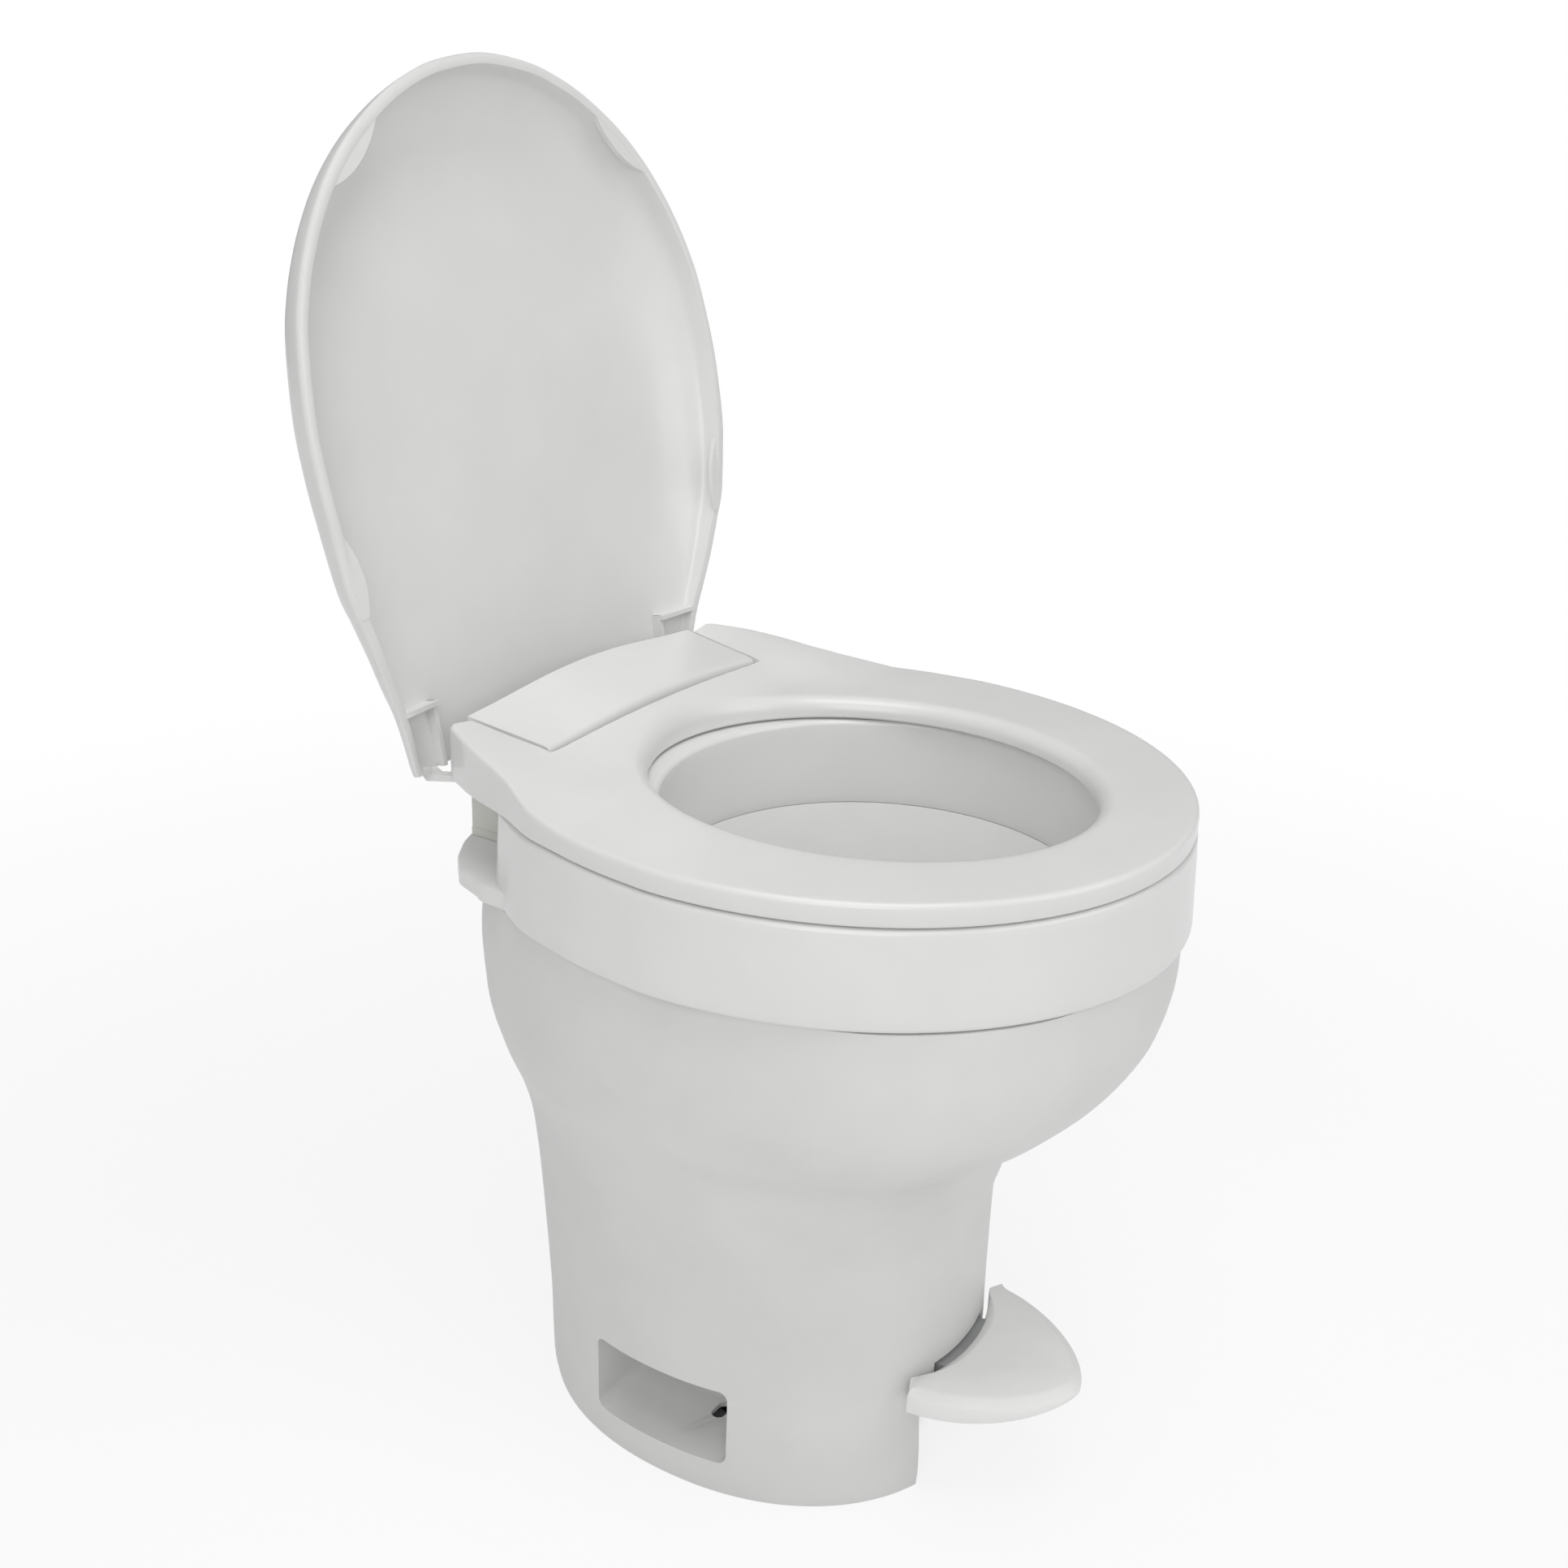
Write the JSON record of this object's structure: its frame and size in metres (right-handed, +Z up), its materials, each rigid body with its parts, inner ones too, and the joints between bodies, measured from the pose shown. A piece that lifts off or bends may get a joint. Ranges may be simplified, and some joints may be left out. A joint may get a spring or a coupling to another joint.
{
  "type": "rv toilet",
  "caption": "Pedal-flush motorhome toilet: moulded pedestal with a rim band, round bowl, hinged seat and open lid, hinge cover and foot pedal that swings the outlet blade.",
  "frame": {"origin": "on the floor, at the middle of the whole object's footprint", "axes": "+Z up, the front and the pedal face -Y, the lid stands open at the back, +X to the right seen from the front"},
  "size_m": [0.3944, 0.4979, 0.8306],
  "materials": {
    "pedestal": "satin",
    "band": "gloss",
    "bowl": "gloss",
    "seat": "gloss",
    "lid": "gloss",
    "hinge_cover": "gloss",
    "bracket": "satin",
    "pin_steel": "satin",
    "bolt_nylon": "satin",
    "pedal_cover": "satin",
    "grey_plastic": "satin",
    "black_rubber": "matte"
  },
  "bodies": {
    "base": {"pedestal": "pedestal", "rim_band": "band", "bowl": "bowl", "hinge_bracket": "bracket", "hinge_pin_left": "pin_steel", "hinge_pin_right": "pin_steel", "seat_bolt_left": "bolt_nylon", "seat_bolt_right": "bolt_nylon", "seat_nut_left": "bolt_nylon", "seat_nut_right": "bolt_nylon", "pedal_shaft": "pin_steel", "return_spring": "pin_steel", "valve_plate": "grey_plastic", "plate_screw_1": "pin_steel", "plate_screw_2": "pin_steel", "plate_screw_3": "pin_steel", "blade_pivot_bolt": "pin_steel", "blade_seal": "black_rubber", "floor_seal": "black_rubber", "water_valve": "grey_plastic", "inlet_fitting": "grey_plastic", "supply_hose": "black_rubber", "flush_hose": "black_rubber", "nozzle_hose": "black_rubber", "vacuum_breaker": "grey_plastic", "flush_nozzle": "bolt_nylon"},
    "seat_body": {"seat": "seat", "seat_bumper_1": "black_rubber", "seat_bumper_2": "black_rubber", "seat_bumper_3": "black_rubber", "seat_bumper_4": "black_rubber"},
    "lid_body": {"lid": "lid"},
    "cover_body": {"hinge_cover": "hinge_cover"},
    "pedal_body": {"pedal_cover": "pedal_cover", "pedal_arm": "grey_plastic", "pedal_screw": "pin_steel"},
    "blade_body": {"outlet_blade": "pin_steel"},
    "plunger_body": {"valve_plunger": "pin_steel"},
    "float_body": {"breaker_float": "bolt_nylon"}
  },
  "joints": [
    {"name": "lid_hinge", "type": "hinge", "parent": "base", "child": "lid_body", "pos_m": [0, 0.144, 0.4474], "axis": [1, 0, 0], "range_deg": [0, 101.6]},
    {"name": "seat_hinge", "type": "hinge", "parent": "base", "child": "seat_body", "pos_m": [0, 0.144, 0.4474], "axis": [1, 0, 0], "range_deg": [-92, 0]},
    {"name": "cover_lift", "type": "hinge", "parent": "base", "child": "cover_body", "pos_m": [0, 0.151, 0.46], "axis": [1, 0, 0], "range_deg": [-45, 0]},
    {"name": "pedal_press", "type": "hinge", "parent": "base", "child": "pedal_body", "pos_m": [0, -0.077, 0.05], "axis": [1, 0, 0], "range_deg": [0, 25], "stiffness_Nm_per_rad": 4, "springref_deg": -17.19},
    {"name": "float_slide", "type": "slide", "parent": "base", "child": "float_body", "axis": [0, 0, 1], "range_m": [0, 0.012]},
    {"name": "blade_swing", "type": "hinge", "parent": "base", "child": "blade_body", "pos_m": [0, -0.077, 0.0945], "axis": [0, 0, 1], "range_deg": [0, 70]},
    {"name": "plunger_slide", "type": "slide", "parent": "base", "child": "plunger_body", "axis": [0, 0, 1], "range_m": [0, 0.0094]}
  ],
  "couplings": [
    {"joint": "blade_swing", "follows": "pedal_press", "ratio": 2.8},
    {"joint": "plunger_slide", "follows": "pedal_press", "m_per_rad": 0.0213}
  ]
}
